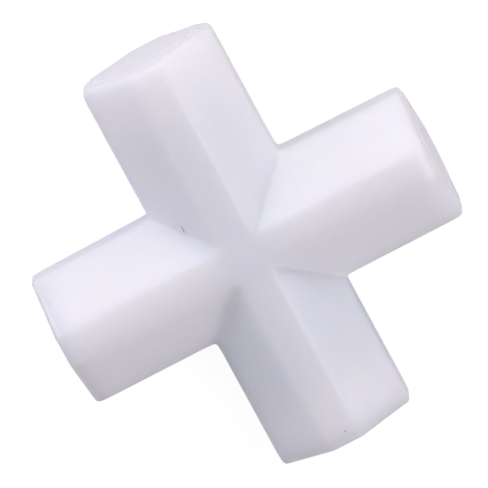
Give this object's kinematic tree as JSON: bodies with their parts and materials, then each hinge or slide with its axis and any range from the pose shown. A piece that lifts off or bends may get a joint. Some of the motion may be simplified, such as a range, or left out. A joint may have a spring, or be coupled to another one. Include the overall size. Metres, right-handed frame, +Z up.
{
  "type": "magnetic stir bar",
  "caption": "Cross-shaped magnetic stir bar: white PTFE arms, ridged above and below, moulded round a sealed bar magnet.",
  "frame": {"origin": "centre of the hub, halfway between the upper and the lower crests", "axes": "+Z up, square to the crests, the axis that the bar spins about; +Y along the longer arm pair, which holds the magnet; +X along the shorter arm pair"},
  "size_m": [0.0364, 0.038, 0.0114],
  "materials": {
    "ptfe": "satin, slightly waxy, fine moulded grain",
    "alnico": "ground grey metal"
  },
  "bodies": {
    "root": {"ptfe_jacket": "ptfe", "bar_magnet": "alnico"}
  },
  "joints": []
}
